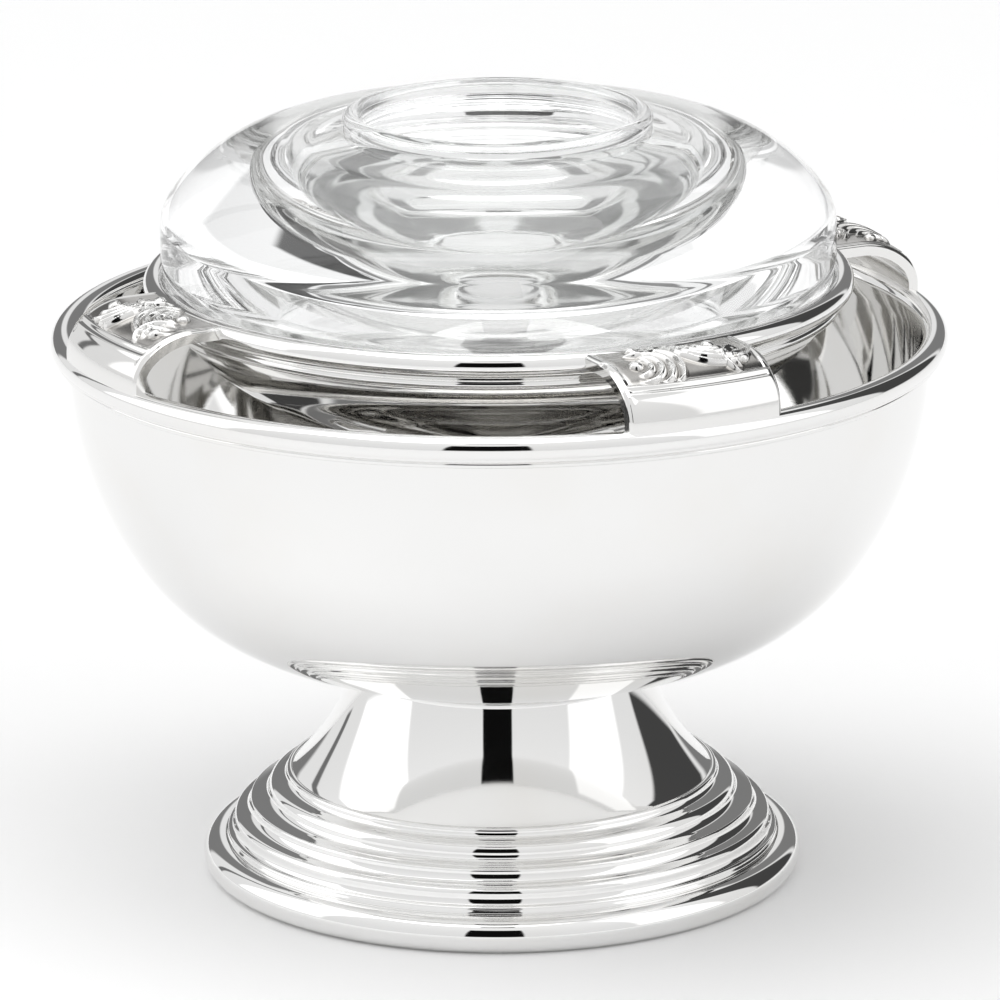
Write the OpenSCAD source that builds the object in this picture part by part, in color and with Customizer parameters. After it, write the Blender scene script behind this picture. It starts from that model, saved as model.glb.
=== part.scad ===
// Footed ice bowl with a lift-out ring holder that carries a heavy glass cup.
// Millimetres, +Z up, origin on the table under the middle of the foot.

/* [Bowl] */
// Outer diameter of the bowl over its rim bead
bowl_d = 150; // [130:1:190]
// Thickness of the spun bowl wall
bowl_wall = 1.1; // [0.8:0.1:1.6]
// Thickness of the rim bead
bead_d = 4.2; // [3:0.1:5]
// Straight upright stretch of wall under the rim bead
lip_h = 1.85; // [1:0.05:6]

/* [Foot] */
// Height of the flat seat under the bowl above the table
foot_h = 36.9; // [30:0.1:48]
// Outer diameter of the heavy ring that the foot stands on
foot_d = 101.6; // [90:0.2:124]
// Height of that base ring
base_ring_h = 5.95; // [5:0.05:8]
// Radius of the stem at its narrowest
neck_r = 25.1; // [20:0.1:30]
// Radius of the long hollow curve of the stem
flare_r = 39.8; // [32:0.1:60]
// Thickness of the spun foot wall
foot_wall = 1.3; // [1:0.1:1.8]

/* [Fixing] */
// Diameter of the stud that bolts the foot to the bowl
stud_d = 5; // [4:0.5:8]
// Width of the nut across its flats
nut_af = 8; // [7:0.5:12]
// Height of the nut
nut_h = 4; // [3:0.5:6]
// Diameter of the dished washer
washer_d = 20; // [14:1:26]
// Thickness of the washer
washer_t = 1.2; // [0.8:0.1:2]

/* [Holder] */
// Gap for the ice between the holder ring and the bowl wall
ice_gap = 11.45; // [9:0.05:14]
// Thickness of the half-round moulding on the holder ring
moulding_d = 4; // [3:0.1:5]
// Height of the top of the holder ring above the middle of the rim bead
ring_rise = 11.55; // [10:0.05:14]
// Height of the holder ring
ring_h = 6.2; // [5:0.1:9]
// Depth of the cup under the holder ring
cup_depth = 19; // [14:0.5:26]
// Thickness of the cup wall
cup_wall = 1; // [0.8:0.1:1.5]
// Width of each bracket
bracket_w = 27.4; // [18:0.1:34]
// Thickness of each bracket plate
bracket_t = 1.9; // [1.4:0.1:2.6]
// Height of the raised ornament on each bracket
relief_h = 1.2; // [0.6:0.1:2]
// Direction of the first bracket, turning from +X towards +Y
bracket_turn = 26.8; // [0:0.1:89]

/* [Glass] */
// Diameter of the mouth inside its rounded lip
mouth_d = 45.9; // [36:0.1:54]
// Thickness of the rounded lip
glass_lip_d = 2.9; // [2:0.1:4]
// Height of the top of the glass above the top of the holder ring
glass_rise = 26.95; // [24:0.05:36]
// Widest diameter of the well inside the glass
well_d = 74; // [64:1:78]
// Depth of the well below the lip
well_depth = 29; // [28:0.5:34]

/* [Clearances] */
// Gap all round between the glass and its seat in the holder ring
seat_gap = 0.05; // [0.02:0.01:0.2]
// Gap between a bracket foot and the rim bead that it rests on
rest_gap = 0.03; // [0.02:0.01:0.2]
// Gap between the underside of the glass and the cup
cup_gap = 1.2; // [0.8:0.1:2]

/* [Hidden] */
$fn = 96;
EPS = 0.01;
// farthest that a drawn curve may stray from the true arc
CHORD = 0.025;
BRACKETS = 4;

bead_r = bead_d / 2;
bead_ring_r = bowl_d / 2 - bead_r;
// the wall top is let half way into the bead
wall_r = bead_ring_r - bead_r / 2;

// The spun bowl bends round three arcs between its flat seat and its upright lip.
COVE_R = 2.25;
seat_r = neck_r + COVE_R + 0.1;
BOTTOM_R = 1.81 * wall_r;
SIDE_R = 0.557 * wall_r;
UPPER_R = 0.867 * wall_r;
BOTTOM_END = 18.3;
SIDE_END = 56.9;
seat_slope = asin(seat_r / BOTTOM_R);

// Number of straight steps that draw an arc of radius r through a degrees.
function arc_steps(r, a) = ceil(abs(a) / (2 * acos(1 - CHORD / abs(r))));
// Points of an arc that starts at p with heading h degrees and turns by a;
// r is positive to the left and negative, with a, to the right.
function on_arc(p, h, r, a) = p + r * [sin(h + a) - sin(h), cos(h) - cos(h + a)];
function arc_points(p, h, r, a) =
    let (n = arc_steps(r, a))
    [for (i = [1:n]) on_arc(p, h, r, a * i / n)];
// Points round part of a circle, from angle a to angle b.
function round_points(c, r, a, b) =
    let (n = arc_steps(r, b - a))
    [for (i = [0:n]) c + r * [cos(a + (b - a) * i / n), sin(a + (b - a) * i / n)]];
// A path of arcs [radius, turn] that follow one another without a corner.
function trace(p, h, arcs, k = 0) =
    k == len(arcs) ? [] :
    let (pts = arc_points(p, h, arcs[k][0], arcs[k][1]))
    concat(pts, trace(pts[len(pts) - 1], h + arcs[k][1], arcs, k + 1));
function last(list) = list[len(list) - 1];
function reversed(list) = [for (i = [len(list) - 1:-1:0]) list[i]];
// Centre of the circle of radius r through p and q, on the left of the way from p to q.
function circle_centre(p, q, r) =
    let (half = (q - p) / 2, d = norm(half))
    p + half + sqrt(r * r - d * d) / d * [-half[1], half[0]];

// The bowl profile on the outside (inset 0) or the inside (inset = wall).
function bowl_profile(inset) =
    let (start = [seat_r - inset * tan(seat_slope / 2), foot_h + inset])
    concat([start], trace(start, seat_slope, [
        [BOTTOM_R - inset, BOTTOM_END - seat_slope],
        [SIDE_R - inset, SIDE_END - BOTTOM_END],
        [UPPER_R - inset, 90 - SIDE_END]]));

bowl_top = last(bowl_profile(0));
wall_out_r = bowl_top[0];
wall_in_r = wall_out_r - bowl_wall;
rim_z = bowl_top[1] + lip_h;
// the two fine rolls under the bead, from its middle: [out, up, radius]
ROLLS = [[0.52, -0.69, 0.24], [0.14, -1.19, 0.26]] * bead_r;

// Foot: the base ring is round outside, and the skirt of the foot sits in a rebate in its top.
foot_r = foot_d / 2;
ring_tube_r = 3.05;
ring_tube_z = base_ring_h - ring_tube_r;
ring_mid_r = foot_r - ring_tube_r;
rebate_r = ring_mid_r - 0.85;
rebate_z = base_ring_h - 1.75;
base_in_r = ring_mid_r - 2.55;
// the steps between the base ring and the stem, each as [radius, height, round]
STEPS = [
    [foot_r - 14.9, base_ring_h + 10.9, 0.65],
    [foot_r - 13, base_ring_h + 8, 1.8],
    [foot_r - 8.6, base_ring_h + 6, 0.5],
    [foot_r - 6.5, base_ring_h + 2.95, 1.2],
    [foot_r - 4.7, base_ring_h + 0.75, 0.55]];
// convex from the top of each step to its side, then hollow to the top of the next
function step_points(k) =
    let (s = STEPS[k], side = [s[0] + s[2], s[1]])
    concat(round_points([s[0], s[1]], s[2], k == 0 ? 120 : 90, 0),
        k + 1 == len(STEPS) ? [] :
        let (t = STEPS[k + 1], foot = [t[0], t[1] + t[2]])
        [for (i = [1:4]) let (a = 90 * i / 4)
            [foot[0] - (foot[0] - side[0]) * cos(a), side[1] - (side[1] - foot[1]) * sin(a)]]);
SKIRT_ABOVE = 0.35;
SKIRT_INSIDE = 0.8;
// thread that shows below the nut
STUD_SPARE = 4.5;
cove_c = [neck_r + COVE_R, foot_h - COVE_R];
flare_end = [STEPS[0][0], STEPS[0][1]] + STEPS[0][2] * [cos(120), sin(120)];
flare_c = circle_centre([neck_r, cove_c[1]], flare_end, flare_r);
flare_top_a = 360 + atan2(cove_c[1] - flare_c[1], neck_r - flare_c[0]);
flare_end_a = 360 + atan2(flare_end[1] - flare_c[1], flare_end[0] - flare_c[0]);
// hollow corner between one step and the next
function step_corner(k) = [STEPS[k][0] + STEPS[k][2], STEPS[k + 1][1] + STEPS[k + 1][2]];

// Holder: the ring moulding, its lower fillet, and the cup that hangs from it.
moulding_r = moulding_d / 2;
ring_top = rim_z + ring_rise;
ring_bottom = ring_top - ring_h;
ring_out_r = wall_in_r - ice_gap;
ring_mid = [ring_out_r - moulding_r, ring_top - moulding_r];
ring_in_r = ring_mid[0] - moulding_r;
fillet_r = 0.9;
FILLET_BACK = 2;
BAND_T = 2.6;
fillet_c = [ring_out_r - FILLET_BACK - fillet_r, ring_bottom + fillet_r];
CUP_R = 45;
cup_top = [ring_in_r + 0.65, ring_bottom];
cup_c = [cup_top[0] - sqrt(pow(CUP_R, 2) - pow(CUP_R - cup_depth, 2)),
         ring_bottom - cup_depth + CUP_R];

// Bracket: an arched plate that leaves the ring, turns down and stands on the bead.
plate_end_r = bowl_d / 2 - 0.7;
foot_z = rim_z + 1.1;
PLATE_SINK = 0.5;
plate_top_z = ring_top - PLATE_SINK;
ARCH_R = 12.5;
TIP_R = 6.5;
arch_start = [plate_end_r - ARCH_R * sin(45) - TIP_R * (1 - sin(45)), plate_top_z];
plate_in_r = ring_mid[0] - PLATE_SINK;
// the ornament covers the middle of the plate and is rooted a little way into it
RELIEF_ROOT = 0.2;
RELIEF_DROP = 0.6;
BORDER = 3.8;
relief_w = bracket_w - 2 * BORDER;
// offset of the arched profile below (positive) or above (negative) the plate top
function arch_profile(inset) =
    concat([[plate_in_r, plate_top_z - inset]],
        [[arch_start[0], plate_top_z - inset]],
        trace([arch_start[0], plate_top_z - inset], 0,
            [[-(ARCH_R - inset), -45], [-(TIP_R - inset), -45]]));

// Glass: widest above the ring, seated in it on a cone, and rounded inside the cup.
lip_r = glass_lip_d / 2;
glass_top = ring_top + glass_rise;
lip_c = [mouth_d / 2 + lip_r, glass_top - lip_r];
SHOULDER = [[-20, -17], [-30, -30], [-13.5, -14], [-6.7, -26]];
SHOULDER_SLOPE = 3;
shoulder_pts = trace([0, 0], -SHOULDER_SLOPE, SHOULDER);
NECK_STEP = [2.25, -1.25];
glass_neck = lip_c + NECK_STEP;
// the seat cone passes the ring moulding at the seat gap
SEAT_LEAN = 69.2;
seat_touch = ring_mid + (moulding_r + seat_gap) * [-sin(SEAT_LEAN), cos(SEAT_LEAN)];
SEAT_ABOVE = 1.75;
SEAT_BELOW = 1.25;
seat_up = seat_touch + SEAT_ABOVE * [cos(SEAT_LEAN), sin(SEAT_LEAN)];
seat_down = seat_touch - SEAT_BELOW * [cos(SEAT_LEAN), sin(SEAT_LEAN)];
// above the cone a short steep stretch leads to the widest part
GLASS_SIDE = [0.3, 2.3];
glass_side = seat_up + GLASS_SIDE;
shoulder_run = glass_side[0] - last(shoulder_pts)[0] - glass_neck[0];
shoulder_start = glass_neck + shoulder_run * [1, -tan(SHOULDER_SLOPE)];
base_r = CUP_R - cup_wall - cup_gap;
GLASS_UNDER = 0.4;
base_start = asin((cup_c[1] - (ring_bottom + GLASS_UNDER)) / base_r);
well_r = well_d / 2;
floor_z = glass_top - well_depth;
// the lip bulges a little over the throat, and rounds over to this angle outside
LIP_BULGE = 0.2;
LIP_END = -50;
throat_r = mouth_d / 2 + LIP_BULGE;
lip_start_a = 180 + acos(1 - LIP_BULGE / lip_r);
// the well: a dished floor, a round side, and a shoulder that turns in and up to the throat
WELL_SIDE_R = 9;
WELL_SHOULDER_R = 6.5;
THROAT_ROUND = 4;
WELL_BOTTOM_TURN = 15;
WELL_SHOULDER_TURN = 70;
well_bottom_r = (well_r - WELL_SIDE_R * (1 - sin(WELL_BOTTOM_TURN))) / sin(WELL_BOTTOM_TURN);
ceiling_run = well_r - throat_r
    - (WELL_SHOULDER_R + THROAT_ROUND) * (1 - cos(WELL_SHOULDER_TURN));
basin = trace([0, floor_z], 0, [[well_bottom_r, WELL_BOTTOM_TURN],
    [WELL_SIDE_R, 90 - WELL_BOTTOM_TURN], [WELL_SHOULDER_R, WELL_SHOULDER_TURN]]);
throat_start = last(basin) + ceiling_run * [-1, 1 / tan(WELL_SHOULDER_TURN)];

module bowl_shell() {
    color("#dfe0e2") rotate_extrude()
        polygon(concat([[0, foot_h]], bowl_profile(0), [[wall_out_r, rim_z], [wall_in_r, rim_z]],
            reversed(bowl_profile(bowl_wall)), [[0, foot_h + bowl_wall]]));
}

// The bead and the two fine rolls below it are one drawn wire round the wall.
module rim_moulding() {
    color("#e6e7e9") rotate_extrude() difference() {
        union() {
            translate([bead_ring_r, rim_z]) circle(bead_r);
            for (roll = ROLLS) translate([bead_ring_r + roll[0], rim_z + roll[1]]) circle(roll[2]);
            // the back of the wire, flat against the wall
            translate([wall_out_r - EPS, rim_z + ROLLS[1][1]])
                square([bead_ring_r + ROLLS[1][0] - wall_out_r, -ROLLS[1][1]]);
        }
        translate([wall_in_r - 1, rim_z - 2 * bead_d]) square([bowl_wall + 1, 2 * bead_d]);
    }
}

module pedestal() {
    stem = concat(round_points(cove_c, COVE_R, 90, 180),
        round_points(flare_c, flare_r, flare_top_a, flare_end_a));
    steps = [for (k = [0:len(STEPS) - 1]) each step_points(k)];
    skirt = [[rebate_r, base_ring_h + SKIRT_ABOVE], [rebate_r, rebate_z],
        [rebate_r - foot_wall, rebate_z], [rebate_r - foot_wall, rebate_z + SKIRT_INSIDE]];
    // the inside runs a wall's thickness behind the hollow corners and the stem
    inside = concat([for (k = [len(STEPS) - 2:-1:0]) step_corner(k) - 0.85 * foot_wall * [1, 1]],
        round_points(flare_c, flare_r + foot_wall, flare_end_a, flare_top_a));
    color("#dcdde0") rotate_extrude()
        polygon(concat([[stud_d / 2, foot_h]], stem, steps, skirt, inside,
            [[neck_r - foot_wall, foot_h - foot_wall], [stud_d / 2, foot_h - foot_wall]]));
}

module foot_ring() {
    color("#dcdde0") rotate_extrude() difference() {
        union() {
            intersection() {
                translate([ring_mid_r, ring_tube_z]) circle(ring_tube_r);
                translate([ring_mid_r, 0]) square([ring_tube_r + 1, base_ring_h + 1]);
            }
            translate([base_in_r, 0]) square([ring_mid_r - base_in_r + EPS, base_ring_h]);
        }
        translate([base_in_r - 1, rebate_z]) square([rebate_r - base_in_r + 1, base_ring_h]);
    }
}

// The stud is brazed to the seat under the bowl and passes the flange of the foot.
module fixing_stud() {
    stud_h = foot_wall + washer_t + nut_h + STUD_SPARE;
    color("#b9a46a") translate([0, 0, foot_h - stud_h]) cylinder(d = stud_d, h = stud_h);
}

module fixing_washer() {
    color("#b9a46a") translate([0, 0, foot_h - foot_wall - washer_t]) difference() {
        cylinder(d1 = 0.9 * washer_d, d2 = washer_d, h = washer_t);
        translate([0, 0, -1]) cylinder(d = stud_d, h = washer_t + 2);
    }
}

module fixing_nut() {
    color("#b9a46a") translate([0, 0, foot_h - foot_wall - washer_t - nut_h]) difference() {
        cylinder(d = nut_af / cos(30), h = nut_h, $fn = 6);
        translate([0, 0, -1]) cylinder(d = stud_d, h = nut_h + 2);
    }
}

// Half-round moulding, a plain band behind it and a fine fillet at its lower edge.
module holder_ring() {
    color("#e6e7e9") rotate_extrude() union() {
        translate(ring_mid) circle(moulding_r);
        translate([ring_in_r, ring_bottom]) square([BAND_T, ring_mid[1] - ring_bottom]);
        translate(fillet_c) circle(fillet_r);
        translate([ring_in_r + 1, ring_bottom]) square([fillet_c[0] - ring_in_r - 1, fillet_r]);
    }
}

module holder_cup() {
    edge = asin((CUP_R - cup_depth) / CUP_R);
    color("#dfe0e2") rotate_extrude() polygon(concat(
        round_points(cup_c, CUP_R, -edge, -90),
        [[0, cup_c[1] - CUP_R], [0, cup_c[1] - CUP_R + cup_wall]],
        reversed(round_points(cup_c, CUP_R - cup_wall, -asin((cup_c[1] - ring_bottom)
            / (CUP_R - cup_wall)), -90))));
}

// The arched plate in section: its top, then its underside a plate thickness below.
module arch_section(rise, thickness, reach) {
    top = arch_profile(-rise);
    under = arch_profile(thickness);
    intersection() {
        polygon(concat(top, [[last(top)[0], foot_z], [last(under)[0], foot_z]], reversed(under)));
        translate([0, foot_z]) square([reach, ring_top]);
    }
}

// A straight-sided cast bracket, cut to fit over the ring moulding and the rim bead.
module bracket(turn) {
    color("#e6e7e9") rotate([0, 0, turn]) difference() {
        union() {
            intersection() {
                rotate_extrude() arch_section(0, bracket_t, plate_end_r + 1);
                translate([0, -bracket_w / 2, 0]) cube([plate_end_r + 5, bracket_w, ring_top + 5]);
            }
            intersection() {
                rotate_extrude() arch_section(relief_h, RELIEF_ROOT, arch_start[0] + RELIEF_DROP * ARCH_R);
                translate([0, -relief_w / 2, 0]) cube([plate_end_r + 5, relief_w, ring_top + 5]);
            }
        }
        rotate_extrude() translate([bead_ring_r, rim_z]) circle(bead_r + rest_gap);
        rotate_extrude() translate(ring_mid) circle(moulding_r);
    }
}
module bracket_right() { bracket(bracket_turn); }
module bracket_back() { bracket(bracket_turn + 360 / BRACKETS); }
module bracket_left() { bracket(bracket_turn + 2 * 360 / BRACKETS); }
module bracket_front() { bracket(bracket_turn + 3 * 360 / BRACKETS); }

module glass_cup() {
    well = concat([[0, floor_z]], basin, [throat_start],
        trace(throat_start, 90 + WELL_SHOULDER_TURN, [[-THROAT_ROUND, -WELL_SHOULDER_TURN]]),
        round_points(lip_c, lip_r, lip_start_a, LIP_END));
    body = concat([glass_neck, shoulder_start],
        trace(shoulder_start, -SHOULDER_SLOPE, SHOULDER),
        [glass_side, seat_up, seat_down],
        round_points(cup_c, base_r, -base_start, -90),
        [[0, cup_c[1] - base_r]]);
    color("#e9f2f4", 0.35) rotate_extrude() polygon(concat(well, body));
}

bowl_shell();
rim_moulding();
pedestal();
foot_ring();
fixing_stud();
fixing_washer();
fixing_nut();
holder_ring();
holder_cup();
bracket_right();
bracket_back();
bracket_left();
bracket_front();
glass_cup();
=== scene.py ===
import math

import bpy
import numpy as np
from mathutils import Matrix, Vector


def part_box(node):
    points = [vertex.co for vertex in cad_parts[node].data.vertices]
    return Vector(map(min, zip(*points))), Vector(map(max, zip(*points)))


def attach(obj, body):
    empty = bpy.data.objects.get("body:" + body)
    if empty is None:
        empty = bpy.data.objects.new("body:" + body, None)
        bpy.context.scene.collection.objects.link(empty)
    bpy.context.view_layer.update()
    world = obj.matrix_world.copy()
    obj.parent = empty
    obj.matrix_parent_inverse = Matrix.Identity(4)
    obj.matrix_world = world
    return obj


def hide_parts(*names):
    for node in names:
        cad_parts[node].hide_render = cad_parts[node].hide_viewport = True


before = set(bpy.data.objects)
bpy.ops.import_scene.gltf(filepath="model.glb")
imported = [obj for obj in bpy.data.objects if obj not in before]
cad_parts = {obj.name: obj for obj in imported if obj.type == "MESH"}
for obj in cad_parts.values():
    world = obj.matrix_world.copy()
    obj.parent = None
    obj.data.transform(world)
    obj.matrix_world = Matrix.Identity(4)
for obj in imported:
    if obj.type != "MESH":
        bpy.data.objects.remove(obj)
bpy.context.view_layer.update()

# ---------------------------------------------------------------- camera
# The camera stands in front of the bowl and looks down on it by a little less than 16 degrees,
# from far enough away that the circles of rim and foot are close to true ellipses.
mm = 0.001
AIM = np.array([0.0, 0.0, 65 * mm])
CAMERA_AWAY = 1300 * mm
CAMERA_RISE = math.radians(15.7)
CAMERA_ROLL = math.radians(-0.35)
LENS = 278.1
SENSOR = 36
LOWERED = -0.0075

camera_data = bpy.data.cameras.new("camera")
camera_data.lens = LENS
camera_data.sensor_width = SENSOR
camera_data.shift_y = LOWERED
camera = bpy.data.objects.new("camera", camera_data)
away = np.array([0, -math.cos(CAMERA_RISE), math.sin(CAMERA_RISE)])
camera.location = AIM + CAMERA_AWAY * away
camera.rotation_mode = "QUATERNION"
pitch = Matrix.Rotation(math.pi / 2 - CAMERA_RISE, 3, "X")
camera.rotation_quaternion = (pitch @ Matrix.Rotation(CAMERA_ROLL, 3, "Z")).to_quaternion()
bpy.context.collection.objects.link(camera)
bpy.context.scene.camera = camera
bpy.context.scene.view_settings.view_transform = "Standard"
# light bounces many times between the polished walls before it comes out again
cycles = bpy.context.scene.cycles
cycles.max_bounces, cycles.glossy_bounces, cycles.transmission_bounces = 32, 24, 24


# ---------------------------------------------------------------- room
# A white room lights the silver evenly. What draws the metal and the edges of the glass is what
# interrupts the white: the gap that the camera looks through, a slot above it, brighter windows at
# both sides and overhead, and dark screens at the sides and behind.
class Signal:
    """A value inside a node tree. Arithmetic on it adds Math nodes to that tree."""

    def __init__(self, tree, socket):
        self.tree, self.socket = tree, socket

    def math(self, operation, *others):
        sockets = dict(enumerate((self,) + others))
        return self.tree.node("ShaderNodeMath", {"operation": operation}, sockets)

    def __add__(self, other):
        return self.math("ADD", other)

    def __sub__(self, other):
        return self.math("SUBTRACT", other)

    def __rsub__(self, other):
        return self.tree.node("ShaderNodeMath", {"operation": "SUBTRACT"}, {0: other, 1: self})

    def __mul__(self, other):
        return self.math("MULTIPLY", other)

    __radd__ = __add__

    def band(self, low, high, soft):
        """1 between low and high, 0 outside, with edges that fade over soft."""
        rise = self.ramp(low - soft / 2, low + soft / 2)
        return rise * (1 - self.ramp(high - soft / 2, high + soft / 2))

    def ramp(self, low, high, start=0.0, end=1.0):
        """A smooth climb from start, where the value is low, to end, where it is high."""
        return self.tree.node("ShaderNodeMapRange", {"interpolation_type": "SMOOTHSTEP"},
                              {"Value": self, "From Min": low, "From Max": high,
                               "To Min": start, "To Max": end})


class Tree:
    """A node tree that is built by calls: node() adds any node and gives back its output."""

    def __init__(self, owner):
        owner.use_nodes = True
        self.nodes, self.links = owner.node_tree.nodes, owner.node_tree.links
        self.nodes.clear()

    def node(self, kind, settings=None, sockets=None, out=0):
        made = self.nodes.new(kind)
        for name, value in (settings or {}).items():
            setattr(made, name, value)
        for name, value in (sockets or {}).items():
            if isinstance(value, Signal):
                self.links.new(value.socket, made.inputs[name])
            else:
                made.inputs[name].default_value = value
        return Signal(self, made.outputs[out]) if made.outputs else made


DEGREES = 180 / math.pi


def room_light():
    """The brightness of the room in each direction, from its angle round and above the object."""
    world = bpy.data.worlds.new("room")
    bpy.context.scene.world = world
    tree = Tree(world)
    way = tree.node("ShaderNodeTexCoord", out="Generated")
    xyz = tree.node("ShaderNodeSeparateXYZ", sockets={0: way})
    x, y, z = (Signal(tree, s) for s in xyz.socket.node.outputs)
    # 0 towards the camera, and positive to the right of someone who stands behind the camera
    turn = x.math("ARCTAN2", y * -1.0) * DEGREES
    rise = z.math("ARCSINE") * DEGREES
    level = rise.ramp(5, 80, 0.84, 1.0)
    for low, high, bottom, top, soft, glow in WINDOWS:
        level = level + turn.band(low, high, soft) * rise.band(bottom, top, soft) * glow
    for low, high, bottom, top, soft, depth in SCREENS:
        level = level * (1 - turn.band(low, high, soft) * rise.band(bottom, top, soft) * depth)
    tree.node("ShaderNodeOutputWorld", sockets={0: tree.node(
        "ShaderNodeBackground", sockets={"Color": (1.0, 1.0, 1.0, 1.0), "Strength": level})})


# each one spans angles round (degrees), angles above the table, a soft edge and its strength
WINDOWS = [(-118, -72, 4, 62, 3, 0.5), (52, 92, 4, 62, 3, 0.4), (-160, 160, 72, 91, 6, 0.3)]
# the first screen is the camera's gap and the second is the slot above it
SCREENS = [(-14, 8, 1, 42, 1.0, 0.995), (-13, 7, 60, 66, 1.0, 0.97),
           (112, 146, 2, 70, 3, 0.93), (-137, -133, 2, 55, 1.5, 0.80),
           (150, 174, -2, 40, 4, 0.75), (-174, -150, -2, 40, 4, 0.75)]
room_light()

TABLE_REACH = 4.0
table_mesh = bpy.data.meshes.new("table")
corner = np.array([[-1, -1, 0], [1, -1, 0], [1, 1, 0], [-1, 1, 0]]) * TABLE_REACH
table_mesh.from_pydata(corner.tolist(), [], [(0, 1, 2, 3)])
table = bpy.data.objects.new("table", table_mesh)
bpy.context.collection.objects.link(table)
paper = bpy.data.materials.new("white_paper")
paper_tree = Tree(paper)
paper_tree.node("ShaderNodeOutputMaterial", sockets={0: paper_tree.node(
    "ShaderNodeBsdfPrincipled", sockets={
        "Base Color": (0.97, 0.97, 0.97, 1), "Roughness": 0.9, "Specular IOR Level": 0.1})})
table_mesh.materials.append(paper)

lamp_data = bpy.data.lights.new("overhead", "AREA")
lamp_data.shape = "DISK"
lamp_data.size = 1.6
lamp_data.energy = 6.5
lamp = bpy.data.objects.new("overhead", lamp_data)
lamp.location = (-0.2, -0.1, 1.7)
bpy.context.collection.objects.link(lamp)


# ---------------------------------------------------------------- foot ring
# A heavy drawn wire of half-round section, turned into a ring and soldered under the edge of the
# spun foot. It is silver plated with the rest, and only its flat underside touches the table.
def arc(centre, radius, start, end, step=3.0):
    """Points round part of a circle, from angle start to angle end, at most step degrees apart."""
    count = 2 + int(abs(end - start) / step)
    a = np.radians(np.linspace(start, end, count))
    return np.column_stack([centre[0] + radius * np.cos(a), centre[1] + radius * np.sin(a)])


def rounded(outline, cut):
    """Cuts each sharp corner of a closed outline back by cut and bridges it with a parabola:
    (1-t)^2 A + 2t(1-t) P + t^2 B for five values of t, where P is the corner."""
    before, after = np.roll(outline, 1, 0) - outline, np.roll(outline, -1, 0) - outline
    long_b, long_a = np.linalg.norm(before, axis=1), np.linalg.norm(after, axis=1)
    cosine = (before * after).sum(1) / (long_b * long_a)
    back = np.where(cosine > -0.94, np.minimum(cut, 0.45 * np.minimum(long_b, long_a)), 0)
    a = outline + before * (back / long_b)[:, None]
    b = outline + after * (back / long_a)[:, None]
    t = np.linspace(0, 1, 5)[None, :, None]
    path = (1 - t) ** 2 * a[:, None] + 2 * t * (1 - t) * outline[:, None] + t**2 * b[:, None]
    path = path.reshape(-1, 2)
    keep = np.linalg.norm(path - np.roll(path, 1, 0), axis=1) > 1e-7
    return path[keep]


def solid(name, points, faces, finish):
    """A smooth closed mesh with one finish. Edges that turn by over 40 degrees stay sharp."""
    mesh = bpy.data.meshes.new(name)
    mesh.from_pydata(points.reshape(-1, 3).tolist(), [], faces)
    mesh.materials.append(finish)
    mesh.shade_smooth()
    mesh.set_sharp_from_angle(angle=math.radians(40))
    made = bpy.data.objects.new(name, mesh)
    bpy.context.collection.objects.link(made)
    return made


def lathe(name, outline, finish, turns=288):
    """Turns an outline of (radius, height) about the axis: point j at angle a is
    (r_j cos a, r_j sin a, z_j). The outline runs anticlockwise, so the faces point outwards. One
    that ends on the axis closes there with a single pole, and any other closes on itself."""
    r, z = outline.T
    solid_of_poles = r[0] < 1e-9 and r[-1] < 1e-9
    if solid_of_poles:
        r, z = r[1:-1], z[1:-1]
    a = 2 * np.pi * np.arange(turns) / turns
    grid = np.stack([np.outer(np.cos(a), r), np.outer(np.sin(a), r),
                     np.tile(z, (turns, 1))], -1)
    rows = len(r)
    i, j = np.meshgrid(np.arange(turns), np.arange(rows - solid_of_poles), indexing="ij")
    i2, j2 = (i + 1) % turns, (j + 1) % rows
    quads = np.stack([i * rows + j, i2 * rows + j, i2 * rows + j2, i * rows + j2], -1)
    points, faces = grid.reshape(-1, 3), quads.reshape(-1, 4).tolist()
    if solid_of_poles:
        k = np.arange(turns)
        k2 = (k + 1) % turns
        first, last = turns * rows, turns * rows + 1
        points = np.vstack([points, [[0, 0, outline[0, 1]], [0, 0, outline[-1, 1]]]])
        low, high = [k * rows, k2 * rows], [k * rows + rows - 1, k2 * rows + rows - 1]
        faces += np.column_stack([np.full(turns, first), low[1], low[0]]).tolist()
        faces += np.column_stack([high[0], high[1], np.full(turns, last)]).tolist()
    return solid(name, points, faces, finish)


WHEEL_MARKS = 9000.0
WARMTH = (0.96, 0.945, 0.92)
TARNISH = (0.20, 0.185, 0.165, 1)


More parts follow.
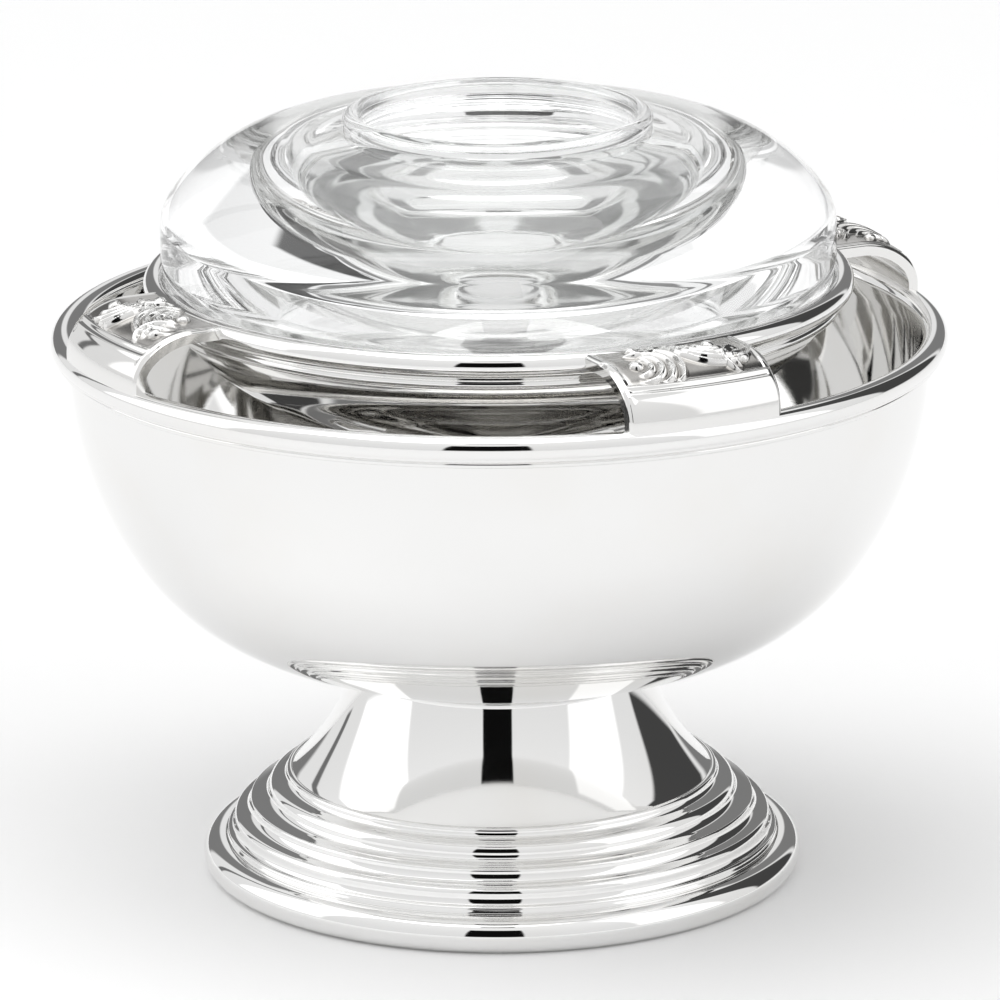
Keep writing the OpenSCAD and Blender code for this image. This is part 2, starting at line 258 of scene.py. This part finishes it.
def polished_silver(name, tone, dull, aged=0.0):
    """Silver plate: a bright mirror, with faint cloudy warmth, rings left by the polishing wheel
    and a few finer scratches. dull is the roughness of the clean metal, and aged is how dark the
    recesses of a casting have gone, where its recess attribute marks them."""
    material = bpy.data.materials.new(name)
    tree = Tree(material)
    place = tree.node("ShaderNodeTexCoord", out="Object")
    xyz = tree.node("ShaderNodeSeparateXYZ", sockets={0: place})
    x, y, z = (Signal(tree, s) for s in xyz.socket.node.outputs)
    radius = (x * x + y * y).math("SQRT")
    rings = tree.node("ShaderNodeCombineXYZ", sockets={
        0: radius * WHEEL_MARKS, 1: z * WHEEL_MARKS})
    wheel = tree.node("ShaderNodeTexNoise", {"noise_dimensions": "2D"},
                      {"Vector": rings, "Scale": 1.0, "Detail": 3.0})
    cloud = tree.node("ShaderNodeTexNoise",
                      sockets={"Vector": place, "Scale": 34.0, "Detail": 4.0})
    smear = tree.node("ShaderNodeTexNoise",
                      sockets={"Vector": place, "Scale": 150.0, "Detail": 5.0})
    warm_tone = tuple(part * share for part, share in zip(tone, WARMTH))
    colour = tree.node("ShaderNodeMix", {"data_type": "RGBA"}, {
        "Factor": cloud.ramp(0.45, 0.75, 0.0, 0.35), 6: (*tone, 1), 7: (*warm_tone, 1)}, out=2)
    rough = dull + smear.ramp(0.5, 0.8, 0.0, 0.03) + wheel.ramp(0.55, 0.9, 0.0, 0.02)
    if aged:
        recess = tree.node("ShaderNodeAttribute", {"attribute_name": "recess"}, out="Fac")
        depth = recess * smear.ramp(0.3, 0.7, 0.7, 1.0)
        colour = tree.node("ShaderNodeMix", {"data_type": "RGBA"},
                           {"Factor": depth * aged, 6: colour, 7: TARNISH}, out=2)
        rough = rough + depth * 0.16
    bump = tree.node("ShaderNodeBump", sockets={
        "Strength": 0.03, "Distance": 0.02 * mm, "Height": wheel})
    tree.node("ShaderNodeOutputMaterial", sockets={0: tree.node(
        "ShaderNodeBsdfPrincipled", sockets={
            "Base Color": colour, "Metallic": 1.0, "Roughness": rough, "Normal": bump})})
    return material


silver = polished_silver("silver_plate", (0.87, 0.868, 0.862), 0.03)

foot_r, ring_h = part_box("foot_ring")[1][0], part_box("foot_ring")[1][2]
RING_TUBE = 3.05 * mm
REBATE_IN, REBATE_DEEP = 0.85 * mm, 1.75 * mm
RING_BACK = 2.55 * mm
tube = (foot_r - RING_TUBE, ring_h - RING_TUBE)
rebate_r, rebate_z = tube[0] - REBATE_IN, ring_h - REBATE_DEEP
base_in_r = tube[0] - RING_BACK
sit = math.degrees(math.asin(-tube[1] / RING_TUBE))
ring_outline = np.vstack([
    [[base_in_r, 0]], arc(tube, RING_TUBE, sit, 90), [[rebate_r, ring_h]],
    [[rebate_r, rebate_z]], [[base_in_r, rebate_z]]])
foot_ring = lathe("foot_ring_wire", rounded(ring_outline, 0.2 * mm), silver)
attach(foot_ring, "ice_bowl")
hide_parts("foot_ring")

# ---------------------------------------------------------------- pedestal
# The foot is spun from one disc of metal: a waisted stem that flares into five rolled steps. It is
# hollow, and the bolt through its flange holds the bowl.
stem_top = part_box("pedestal")[1][2]
NECK_R = 25.1 * mm
COVE_R = 2.25 * mm
FLARE_R = 39.8 * mm
FOOT_WALL = 1.3 * mm
STUD_R = 2.5 * mm
# each step as how far in from the foot's edge, how far above the ring, and its round
STEPS = np.array([[14.9, 10.9, 0.65], [13.0, 8.0, 1.8], [8.6, 6.0, 0.5],
                  [6.5, 2.95, 1.2], [4.7, 0.75, 0.55]]) * mm
SKIRT_ABOVE, SKIRT_INSIDE = 0.35 * mm, 0.8 * mm
steps = STEPS * [-1, 1, 1] + [foot_r, ring_h, 0]


def hollow(start, end):
    """A quarter of an ellipse that leaves start downwards and reaches end level."""
    a = np.radians(np.linspace(0, 90, 9))[1:]
    return np.column_stack([end[0] - (end[0] - start[0]) * np.cos(a),
                            start[1] - (start[1] - end[1]) * np.sin(a)])


def step_rolls():
    """The rolled steps from the highest to the lowest: a round, then a hollow down to the next."""
    path = []
    for k, (r, z, roll) in enumerate(steps):
        path.append(arc((r, z), roll, 120 if k == 0 else 90, 0, 10))
        if k + 1 < len(steps):
            below = steps[k + 1]
            path.append(hollow((r + roll, z), (below[0], below[1] + below[2])))
    return np.vstack(path)


def circle_centre(p, q, radius):
    """Centre of the circle of that radius through p and q, on the left of the way from p to q."""
    half = (q - p) / 2
    length = np.linalg.norm(half)
    side = math.sqrt(radius**2 - length**2) / length
    return p + half + side * np.array([-half[1], half[0]])


cove = np.array([NECK_R + COVE_R, stem_top - COVE_R])
first = arc(steps[0, :2], steps[0, 2], 120, 0)[0]
flare = circle_centre(np.array([NECK_R, cove[1]]), first, FLARE_R)
flare_top = 360 + math.degrees(math.atan2(cove[1] - flare[1], NECK_R - flare[0]))
flare_end = 360 + math.degrees(math.atan2(first[1] - flare[1], first[0] - flare[0]))
inner_corners = np.array([[steps[k, 0] + steps[k, 2], steps[k + 1, 1] + steps[k + 1, 2]]
                          for k in (3, 2, 1, 0)]) - 0.85 * FOOT_WALL
stem_outline = np.vstack([
    [[STUD_R, stem_top]], arc(cove, COVE_R, 90, 180, 6),
    arc(flare, FLARE_R, flare_top, flare_end, 1.5)[1:], step_rolls()[1:],
    [[rebate_r, ring_h + SKIRT_ABOVE]], [[rebate_r, rebate_z]],
    [[rebate_r - FOOT_WALL, rebate_z]], [[rebate_r - FOOT_WALL, rebate_z + SKIRT_INSIDE]],
    inner_corners, arc(flare, FLARE_R + FOOT_WALL, flare_end, flare_top),
    [[NECK_R - FOOT_WALL, stem_top - FOOT_WALL]], [[STUD_R, stem_top - FOOT_WALL]]])[::-1]
pedestal = lathe("pedestal_spinning", rounded(stem_outline, 0.15 * mm), silver)
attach(pedestal, "ice_bowl")
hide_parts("pedestal")

# ---------------------------------------------------------------- bowl
# The bowl is spun from one disc of metal and polished inside and out. Its wall bends round three
# arcs between the flat seat on the foot and the upright lip under the rim bead.
(wall_r, _, rim_z), seat_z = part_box("bowl_shell")[1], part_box("bowl_shell")[0][2]
BOWL_WALL = 1.1 * mm
SEAT_R = NECK_R + COVE_R + 0.1 * mm
bead_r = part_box("rim_moulding")[1][2] - rim_z
bead_mid_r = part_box("rim_moulding")[1][0] - bead_r


def follow(start, heading, arcs, step=1.5):
    """A path of arcs (radius, turn) that follow one another without a corner. A point on an arc
    that starts at p, heading h, is p + R (sin(h+a) - sin h, cos h - cos(h+a)) after turning by a."""
    path, p, h = [np.array([start])], np.array(start), math.radians(heading)
    for radius, turn in arcs:
        a = np.radians(np.linspace(0, turn, 2 + int(abs(turn) / step)))[1:]
        move = np.column_stack([np.sin(h + a) - math.sin(h), math.cos(h) - np.cos(h + a)])
        path.append(p + radius * move)
        p, h = path[-1][-1], h + math.radians(turn)
    return np.vstack(path)


BOTTOM_R, SIDE_R, UPPER_R = 1.81 * wall_r, 0.557 * wall_r, 0.867 * wall_r
BOTTOM_END, SIDE_END = 18.3, 56.9
seat_slope = math.degrees(math.asin(SEAT_R / BOTTOM_R))


def bowl_side(inset):
    """The bowl's outline from seat to lip: the outside with inset 0, and the inside with the
    thickness of the wall as inset."""
    start = (SEAT_R - inset * math.tan(math.radians(seat_slope / 2)), seat_z + inset)
    return follow(start, seat_slope, [(BOTTOM_R - inset, BOTTOM_END - seat_slope),
                                      (SIDE_R - inset, SIDE_END - BOTTOM_END),
                                      (UPPER_R - inset, 90 - SIDE_END)], 1.0)


bowl_outline = np.vstack([
    [[0, seat_z]], [[SEAT_R / 2, seat_z]], bowl_side(0), [[wall_r, rim_z]],
    [[wall_r - BOWL_WALL, rim_z]], bowl_side(BOWL_WALL)[::-1],
    [[SEAT_R / 2, seat_z + BOWL_WALL]], [[0, seat_z + BOWL_WALL]]])
bowl = lathe("bowl_spinning", bowl_outline, silver)
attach(bowl, "ice_bowl")
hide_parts("bowl_shell")

# ---------------------------------------------------------------- rim moulding
# A round bead and two fine rolls below it are drawn as one wire, with a flat back. It is bent
# round the edge of the bowl and soldered on, stiffens the thin wall and carries the brackets.
bead = np.array([bead_mid_r, rim_z])
# each roll as how far out and up it is from the middle of the bead, and its radius
upper_roll, lower_roll = np.array([[0.52, -0.69, 0.24], [0.14, -1.19, 0.26]]) * bead_r
apart = math.hypot(upper_roll[0], upper_roll[1])
toward = math.degrees(math.atan2(upper_roll[1], upper_roll[0]))
# the bead meets the upper roll at these angles on both sides of the line between their middles
spread = math.acos((apart**2 + bead_r**2 - upper_roll[2] ** 2) / (2 * apart * bead_r))
turned = math.degrees(math.asin(bead_r * math.sin(spread) / upper_roll[2]))
spread = math.degrees(spread)
under = -math.degrees(math.acos(lower_roll[0] / bead_r))
rim_outline = np.vstack([
    [[wall_r, rim_z + lower_roll[1]]], arc(bead + lower_roll[:2], lower_roll[2], 180, 450, 10),
    arc(bead, bead_r, under, toward - spread, 4),
    arc(bead + upper_roll[:2], upper_roll[2], toward - turned, toward + turned, 10),
    arc(bead, bead_r, toward + spread, 180, 4), [[wall_r, rim_z]]])
rim = lathe("rim_wire", rounded(rim_outline, 0.05 * mm), silver)
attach(rim, "ice_bowl")
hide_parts("rim_moulding")

# ---------------------------------------------------------------- fixing
# Under the bowl a brass stud is brazed to the seat. It passes the flange of the foot, and a dished
# washer and a hexagon nut pull the two together from inside the hollow foot.
FRESH_BRASS, BROWN_BRASS = (0.75, 0.58, 0.30, 1), (0.42, 0.28, 0.13, 1)


def turned_brass():
    """Brass left as it came off the lathe: fine rings, and brown where it has aged."""
    material = bpy.data.materials.new("fixing_brass")
    tree = Tree(material)
    place = tree.node("ShaderNodeTexCoord", out="Object")
    age = tree.node("ShaderNodeTexNoise", sockets={"Vector": place, "Scale": 260.0, "Detail": 6.0})
    cut = tree.node("ShaderNodeTexNoise", sockets={"Vector": place, "Scale": 2400.0, "Detail": 2.0})
    colour = tree.node("ShaderNodeMix", {"data_type": "RGBA"}, {
        "Factor": age.ramp(0.4, 0.75), 6: FRESH_BRASS, 7: BROWN_BRASS}, out=2)
    bump = tree.node("ShaderNodeBump", sockets={
        "Strength": 0.2, "Distance": 0.05 * mm, "Height": cut})
    tree.node("ShaderNodeOutputMaterial", sockets={0: tree.node(
        "ShaderNodeBsdfPrincipled", sockets={
            "Base Color": colour, "Metallic": 1.0, "Roughness": age.ramp(0.3, 0.8, 0.22, 0.5),
            "Normal": bump})})
    return material


brass = turned_brass()
for part in ("fixing_stud", "fixing_washer", "fixing_nut"):
    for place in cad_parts[part].material_slots:
        place.material = brass

# ---------------------------------------------------------------- holder ring
# A half-round moulding with a plain band behind it and a fine fillet at its lower edge. It is bent
# from one drawn strip, and the glass rests on its rounded top.
holder_r, _, holder_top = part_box("holder_ring")[1]
holder_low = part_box("holder_ring")[0][2]
MOULDING_R = 2.0 * mm
FINE_R = 0.9 * mm
FINE_BACK = 2.0 * mm
moulding = (holder_r - MOULDING_R, holder_top - MOULDING_R)
band_in = moulding[0] - MOULDING_R
fine = (holder_r - FINE_BACK - FINE_R, holder_low + FINE_R)
holder_outline = np.vstack([
    arc(moulding, MOULDING_R, -50, 180, 4), [[band_in, holder_low]],
    arc(fine, FINE_R, -90, 60, 8)])
holder = lathe("holder_ring_moulding", rounded(holder_outline, 0.2 * mm), silver)
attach(holder, "holder")
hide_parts("holder_ring")

# ---------------------------------------------------------------- holder cup
# A shallow spun cup closes the holder under the glass and keeps it off the ice. Its edge is
# soldered inside the lower edge of the ring.
(cup_r, _, cup_top), cup_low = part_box("holder_cup")[1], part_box("holder_cup")[0][2]
CUP_R = 45 * mm
CUP_WALL = 1 * mm
cup_mid = (cup_r - math.sqrt(CUP_R**2 - (CUP_R - (cup_top - cup_low))**2), cup_low + CUP_R)
cup_edge = math.degrees(math.asin((cup_mid[1] - cup_top) / CUP_R))
cup_edge_in = math.degrees(math.asin((cup_mid[1] - cup_top) / (CUP_R - CUP_WALL)))
cup_outline = np.vstack([
    [[0, cup_low]], arc(cup_mid, CUP_R, -90, -cup_edge, 2),
    arc(cup_mid, CUP_R - CUP_WALL, -cup_edge_in, -90, 2), [[0, cup_low + CUP_WALL]]])
cup = lathe("holder_cup_spinning", cup_outline, silver)
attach(cup, "holder")
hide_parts("holder_cup")

# ---------------------------------------------------------------- brackets
# Four cast brackets are soldered to the ring. Each is an arched plate with curved leaves and two
# bands in relief, and its smooth foot stands on the bead of the bowl.
PLATE_T = 1.9 * mm
RELIEF = 1.2 * mm
BRACKET_W = 27.4 * mm
ARCH_R, TIP_R = 12.5 * mm, 6.5 * mm
TIP_IN = 0.7 * mm
FOOT_ABOVE = 1.1 * mm
PLATE_SINK = 0.5 * mm
REST_GAP = 0.03 * mm
plate_end = bead_mid_r + bead_r - TIP_IN
plate_top = holder_top - PLATE_SINK
foot_z = rim_z + FOOT_ABOVE
arch_start = plate_end - ARCH_R * math.sin(math.pi / 4) - TIP_R * (1 - math.sin(math.pi / 4))
EDGE_FALL, EDGE_WIDE = 0.35 * mm, 0.6 * mm
# places across and along each bracket
ACROSS, ALONG = 221, 161


def even(path, count):
    """The path again, with count points the same distance apart along it."""
    run = np.concatenate([[0], np.cumsum(np.linalg.norm(np.diff(path, axis=0), axis=1))])
    at = np.linspace(0, run[-1], count)
    return np.column_stack([np.interp(at, run, path[:, 0]), np.interp(at, run, path[:, 1])]), at


def arch(inset):
    """The bracket's section from the ring to its foot: level, then down round two arcs."""
    start = (moulding[0] - PLATE_SINK, plate_top - inset)
    bend = follow((arch_start, plate_top - inset), 0,
                  [(-(ARCH_R - inset), -45), (-(TIP_R - inset), -45)])
    return np.vstack([[start], bend, [[bend[-1, 0], foot_z]]])


def smooth(value, low, high):
    """0 below low, 1 above high, and a smooth climb between them."""
    t = np.clip((value - low) / (high - low), 0, 1)
    return t * t * (3 - 2 * t)


def crescents(across, along, eye, near, far, pitch, facing):
    """Curved leaves round an eye: the height is a squared cosine of distance over pitch between
    the distances near and far, and tapers to points as the angle leaves the way they face. A
    small dome sits on the eye."""
    dx, dy = across - eye[0], along - eye[1]
    away = np.hypot(dx, dy)
    off = np.cos(np.arctan2(dy, dx) - math.radians(facing))
    ridge = np.cos(np.pi * (away - near) / pitch) ** 2
    inside = smooth(away, near - pitch / 2, near) * (1 - smooth(away, far, far + pitch / 2))
    shape = ridge * inside * smooth(off, -0.05, 0.75) * (0.7 + 0.3 * smooth(away, near, far))
    return np.maximum(shape, 0.9 * dome(across, along, eye, 1.15))


def dome(across, along, centre, size):
    """A round bead of radius size."""
    away = np.hypot(across - centre[0], along - centre[1])
    return np.sqrt(np.clip(1 - (away / size) ** 2, 0, 1))


def bell(value, middle, wide=0.45):
    """A rounded ridge: exp of minus the square of the distance from its middle over its width."""
    return np.exp(-(((value - middle) / wide) ** 2))


# share of the plate's length that the ornament takes
ORNAMENT_REACH = 0.62


def relief(across, along, length):
    """Height of the ornament in parts of RELIEF, from places on the plate in millimetres: groups
    of curved leaves that flow into each other, inside plain borders and above two plain bands.
    Also gives the leaves alone, and the field that they lie in."""
    end = length * ORNAMENT_REACH
    side = BRACKET_W / mm / 2 - np.abs(across)
    field = smooth(side, 1.2, 2.2) * (1 - smooth(along, end - 0.7, end + 0.2))
    # two large groups and two small ones between them
    groups = [crescents(across, along, (-9.0, end - 4.6), 2.4, 7.5, 1.7, 15),
              crescents(across, along, (6.6, 4.4), 2.5, 7.6, 1.7, 128),
              crescents(across, along, (9.6, end - 3.2), 1.9, 3.6, 1.5, 200),
              crescents(across, along, (-6.4, 2.6), 1.9, 3.6, 1.5, 60)]
    leaves = np.maximum.reduce(groups) * field
    bands = (bell(along, end + 0.3) + 0.7 * bell(along, end + 1.7)) * smooth(side, 0.4, 1.2)
    border = bell(side, 1.0) * (1 - smooth(along, end + 2, end + 4))
    height = np.maximum.reduce([0.10 * field + 0.80 * leaves, 0.14 * border, 0.28 * bands])
    return height, leaves, field


def bracket(name, turn, finish):
    """A closed plate on a grid of places across and along it. A place along the arched section
    gives radius r and height z; across by y it sits at (sqrt(r^2 - y^2), y, z), turned to its own
    quarter. The upper face is pushed out along the section's normal by the relief."""
    top, at = even(arch(0), ALONG)
    under, _ = even(arch(PLATE_T), ALONG)
    # the underside is cut to the bead, which it clears by the rest gap
    away = under - [bead_mid_r, rim_z]
    far = np.linalg.norm(away, axis=1)
    reach = bead_r + REST_GAP
    near = far < reach
    under[near] = [bead_mid_r, rim_z] + away[near] / far[near, None] * reach
    slope = np.gradient(top, axis=0)
    normal = np.column_stack([-slope[:, 1], slope[:, 0]]) / np.linalg.norm(slope, axis=1)[:, None]
    y = np.linspace(-0.5, 0.5, ACROSS) * BRACKET_W
    across, along = np.meshgrid(y / mm, at / mm, indexing="ij")
    height, leaves, field = relief(across, along, at[-1] / mm)
    # the outer edges are rounded over
    rim_fall = EDGE_FALL * (1 - smooth(BRACKET_W / 2 - np.abs(y), 0, EDGE_WIDE))[:, None]
    lift = height * RELIEF - rim_fall
    upper = top[None] + normal[None] * lift[..., None]
    sheets = np.stack([upper, np.tile(under, (ACROSS, 1, 1))])
    r, z = sheets[..., 0], sheets[..., 1]
    lateral = np.broadcast_to(y[None, :, None], r.shape)
    x = np.sqrt(r**2 - lateral**2)
    c, s = math.cos(turn), math.sin(turn)
    points = np.stack([x * c - lateral * s, x * s + lateral * c, z], -1)
    n, m = ACROSS, ALONG
    i, j = np.meshgrid(np.arange(n - 1), np.arange(m - 1), indexing="ij")
    up = np.stack([i * m + j, i * m + j + 1, (i + 1) * m + j + 1, (i + 1) * m + j], -1)
    up = up.reshape(-1, 4)
    down = up[:, ::-1] + n * m
    loop = np.concatenate([np.arange(n) * m, (n - 1) * m + np.arange(1, m),
                           np.arange(n - 2, -1, -1) * m + m - 1, np.arange(m - 2, 0, -1)])
    after = np.roll(loop, -1)
    side = np.column_stack([loop, after, after + n * m, loop + n * m])
    faces = np.vstack([up[:, ::-1], down[:, ::-1], side]).tolist()
    made = solid(name, points, faces, finish)
    # 1 on the ground between the leaves, and 0 on the leaves and everywhere outside the field
    recess = np.concatenate([(field * (1 - np.clip(leaves / 0.45, 0, 1))).ravel(), np.zeros(n * m)])
    made.data.attributes.new("recess", "FLOAT", "POINT").data.foreach_set("value", recess)
    return made


cast = polished_silver("silver_cast", (0.82, 0.816, 0.806), 0.06, 0.75)
FIRST_TURN = math.radians(26.8)
for k, side_name in enumerate(("right", "back", "left", "front")):
    piece = bracket("bracket_casting_" + side_name, FIRST_TURN + k * math.pi / 2, cast)
    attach(piece, "holder")
    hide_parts("bracket_" + side_name)

# ---------------------------------------------------------------- glass cup
# One piece of thick clear glass, pressed and fire polished. Its rounded lip stands over a well for
# the food, its shoulder spreads over the ring, and a cone below the shoulder seats it there.
(glass_r, _, glass_top), glass_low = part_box("glass_cup")[1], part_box("glass_cup")[0][2]
LIP_R = 1.45 * mm
MOUTH_R = 22.95 * mm
WELL_R, WELL_DEPTH = 37 * mm, 29 * mm
WELL_SIDE_R, WELL_SHOULDER_R, THROAT_ROUND = 9 * mm, 6.5 * mm, 4 * mm
SEAT_ABOVE, SEAT_BELOW, SIDE_H = 1.75 * mm, 1.25 * mm, 2.3 * mm
NECK_STEP = np.array([2.25, -1.25]) * mm
WELL_BOTTOM_TURN, WELL_SHOULDER_TURN = 15, 70
LIP_BULGE, LIP_END = 0.2 * mm, -50
GLASS_UNDER = 0.4 * mm
SEAT_LEAN, SEAT_GAP = 69.2, 0.05 * mm
SHOULDER = [(-20 * mm, -17), (-30 * mm, -30), (-13.5 * mm, -14), (-6.7 * mm, -26)]
SHOULDER_SLOPE = 3
lip = (MOUTH_R + LIP_R, glass_top - LIP_R)
well_z = glass_top - WELL_DEPTH
throat_r = MOUTH_R + LIP_BULGE
turn_in = math.radians(WELL_SHOULDER_TURN)
bottom_sine = math.sin(math.radians(WELL_BOTTOM_TURN))
bottom_r = (WELL_R - WELL_SIDE_R * (1 - bottom_sine)) / bottom_sine
basin = follow((0, well_z), 0, [
    (bottom_r, WELL_BOTTOM_TURN), (WELL_SIDE_R, 90 - WELL_BOTTOM_TURN),
    (WELL_SHOULDER_R, WELL_SHOULDER_TURN)], 2)
ceiling = WELL_R - throat_r - (WELL_SHOULDER_R + THROAT_ROUND) * (1 - math.cos(turn_in))
throat_start = basin[-1] + ceiling * np.array([-1, 1 / math.tan(turn_in)])
throat = follow(throat_start, 90 + WELL_SHOULDER_TURN, [(-THROAT_ROUND, -WELL_SHOULDER_TURN)], 4)
lip_start = 180 + math.degrees(math.acos(1 - LIP_BULGE / LIP_R))
lean = np.array([math.cos(math.radians(SEAT_LEAN)), math.sin(math.radians(SEAT_LEAN))])
touch = np.array(moulding) + (MOULDING_R + SEAT_GAP) * np.array([-lean[1], lean[0]])
seat_up, seat_down = touch + SEAT_ABOVE * lean, touch - SEAT_BELOW * lean
glass_neck = np.array(lip) + NECK_STEP
fall = follow((0, 0), -SHOULDER_SLOPE, SHOULDER)
shoulder_run = glass_r - fall[-1, 0] - glass_neck[0]
shoulder_start = glass_neck + shoulder_run * np.array([1, -math.tan(math.radians(SHOULDER_SLOPE))])
base_r = cup_mid[1] - glass_low
base_start = math.degrees(math.asin((cup_mid[1] - (holder_low + GLASS_UNDER)) / base_r))
glass_outline = np.vstack([
    basin, throat, arc(lip, LIP_R, lip_start, LIP_END, 6), [glass_neck],
    shoulder_start + fall, [[glass_r, seat_up[1] + SIDE_H]], [seat_up], [seat_down],
    arc(cup_mid, base_r, -base_start, -90, 2), [[0, glass_low]]])[::-1]


def clear_glass():
    """Clear glass with the faint waves that pressing leaves in its surface."""
    material = bpy.data.materials.new("clear_glass")
    tree = Tree(material)
    place = tree.node("ShaderNodeTexCoord", out="Object")
    wave = tree.node("ShaderNodeTexNoise", sockets={"Vector": place, "Scale": 45.0, "Detail": 1.0})
    haze = tree.node("ShaderNodeTexNoise",
                     sockets={"Vector": place, "Scale": 300.0, "Detail": 4.0})
    bump = tree.node("ShaderNodeBump", sockets={
        "Strength": 0.25, "Distance": 0.3 * mm, "Height": wave})
    tree.node("ShaderNodeOutputMaterial", sockets={0: tree.node(
        "ShaderNodeBsdfPrincipled", sockets={
            "Base Color": (0.985, 0.99, 0.99, 1), "Roughness": haze.ramp(0.6, 0.9, 0.0, 0.02),
            "IOR": 1.5, "Transmission Weight": 1.0, "Normal": bump})})
    return material


glass = lathe("glass_pressing", glass_outline, clear_glass())
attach(glass, "glass")
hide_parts("glass_cup")
